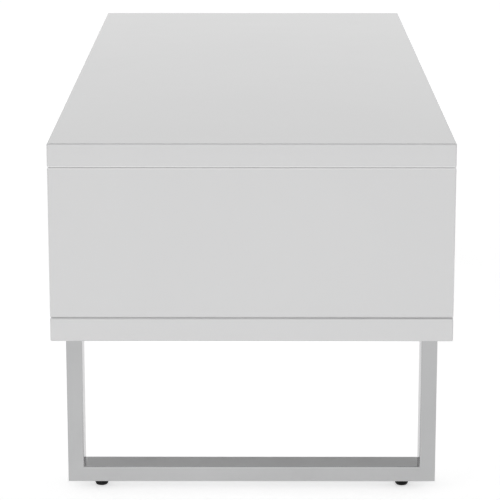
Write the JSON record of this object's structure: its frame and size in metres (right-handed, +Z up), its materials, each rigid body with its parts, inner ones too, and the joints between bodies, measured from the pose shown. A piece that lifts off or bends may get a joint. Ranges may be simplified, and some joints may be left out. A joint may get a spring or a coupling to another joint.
{
  "type": "lift top coffee table",
  "caption": "Low white gloss storage table on polished rectangular-tube sled legs, whose top lifts up and forward on a sprung parallel linkage.",
  "frame": {"origin": "on the floor, under the middle of the table, with the top shut", "axes": "+X along the length, +Z up, and the user sits on the -Y side, to which the top comes forward"},
  "size_m": [1.2, 0.5, 0.45],
  "materials": {
    "white_lacquer": "gloss",
    "polished_tube": "polished",
    "zinc_steel": "satin",
    "spring_steel": "satin",
    "black_rubber": "matte",
    "grey_felt": "matte"
  },
  "bodies": {
    "carcass": {"base_board": "white_lacquer", "front_panel": "white_lacquer", "back_panel": "white_lacquer", "left_end_panel": "white_lacquer", "right_end_panel": "white_lacquer", "rim_pads": "grey_felt", "left_leg_frame": "polished_tube", "right_leg_frame": "polished_tube", "leg_plates": "polished_tube", "leg_bolts": "zinc_steel", "feet": "black_rubber", "left_base_bracket": "zinc_steel", "right_base_bracket": "zinc_steel", "base_pivot_studs": "zinc_steel", "stop_pins": "zinc_steel", "base_spring_posts": "zinc_steel", "left_spring": "spring_steel", "right_spring": "spring_steel"},
    "left_front_arm": {"left_front_arm": "zinc_steel", "left_crank_post": "zinc_steel"},
    "left_rear_arm": {"left_rear_arm": "zinc_steel"},
    "right_front_arm": {"right_front_arm": "zinc_steel", "right_crank_post": "zinc_steel"},
    "right_rear_arm": {"right_rear_arm": "zinc_steel"},
    "lift_top": {"lift_top": "white_lacquer", "left_top_bracket": "zinc_steel", "right_top_bracket": "zinc_steel", "top_pivot_studs": "zinc_steel"}
  },
  "joints": [
    {"name": "lift", "type": "hinge", "parent": "carcass", "child": "left_front_arm", "pos_m": [-0.5771, -0.13, 0.35626], "axis": [1, 0, 0], "range_deg": [0, 110], "deforming": ["left_spring", "right_spring"]},
    {"name": "left_rear_swing", "type": "hinge", "parent": "carcass", "child": "left_rear_arm", "pos_m": [-0.5771, -0.06556, 0.32891], "axis": [1, 0, 0], "range_deg": [0, 110]},
    {"name": "right_front_swing", "type": "hinge", "parent": "carcass", "child": "right_front_arm", "pos_m": [0.5771, -0.13, 0.35626], "axis": [1, 0, 0], "range_deg": [0, 110]},
    {"name": "right_rear_swing", "type": "hinge", "parent": "carcass", "child": "right_rear_arm", "pos_m": [0.5771, -0.06556, 0.32891], "axis": [1, 0, 0], "range_deg": [0, 110]},
    {"name": "top_level", "type": "hinge", "parent": "left_front_arm", "child": "lift_top", "pos_m": [-0.5771, 0.08519, 0.402], "axis": [1, 0, 0], "range_deg": [-110, 0]}
  ],
  "couplings": [
    {"joint": "left_rear_swing", "follows": "lift", "ratio": 1},
    {"joint": "right_front_swing", "follows": "lift", "ratio": 1},
    {"joint": "right_rear_swing", "follows": "lift", "ratio": 1},
    {"joint": "top_level", "follows": "lift", "ratio": -1}
  ]
}
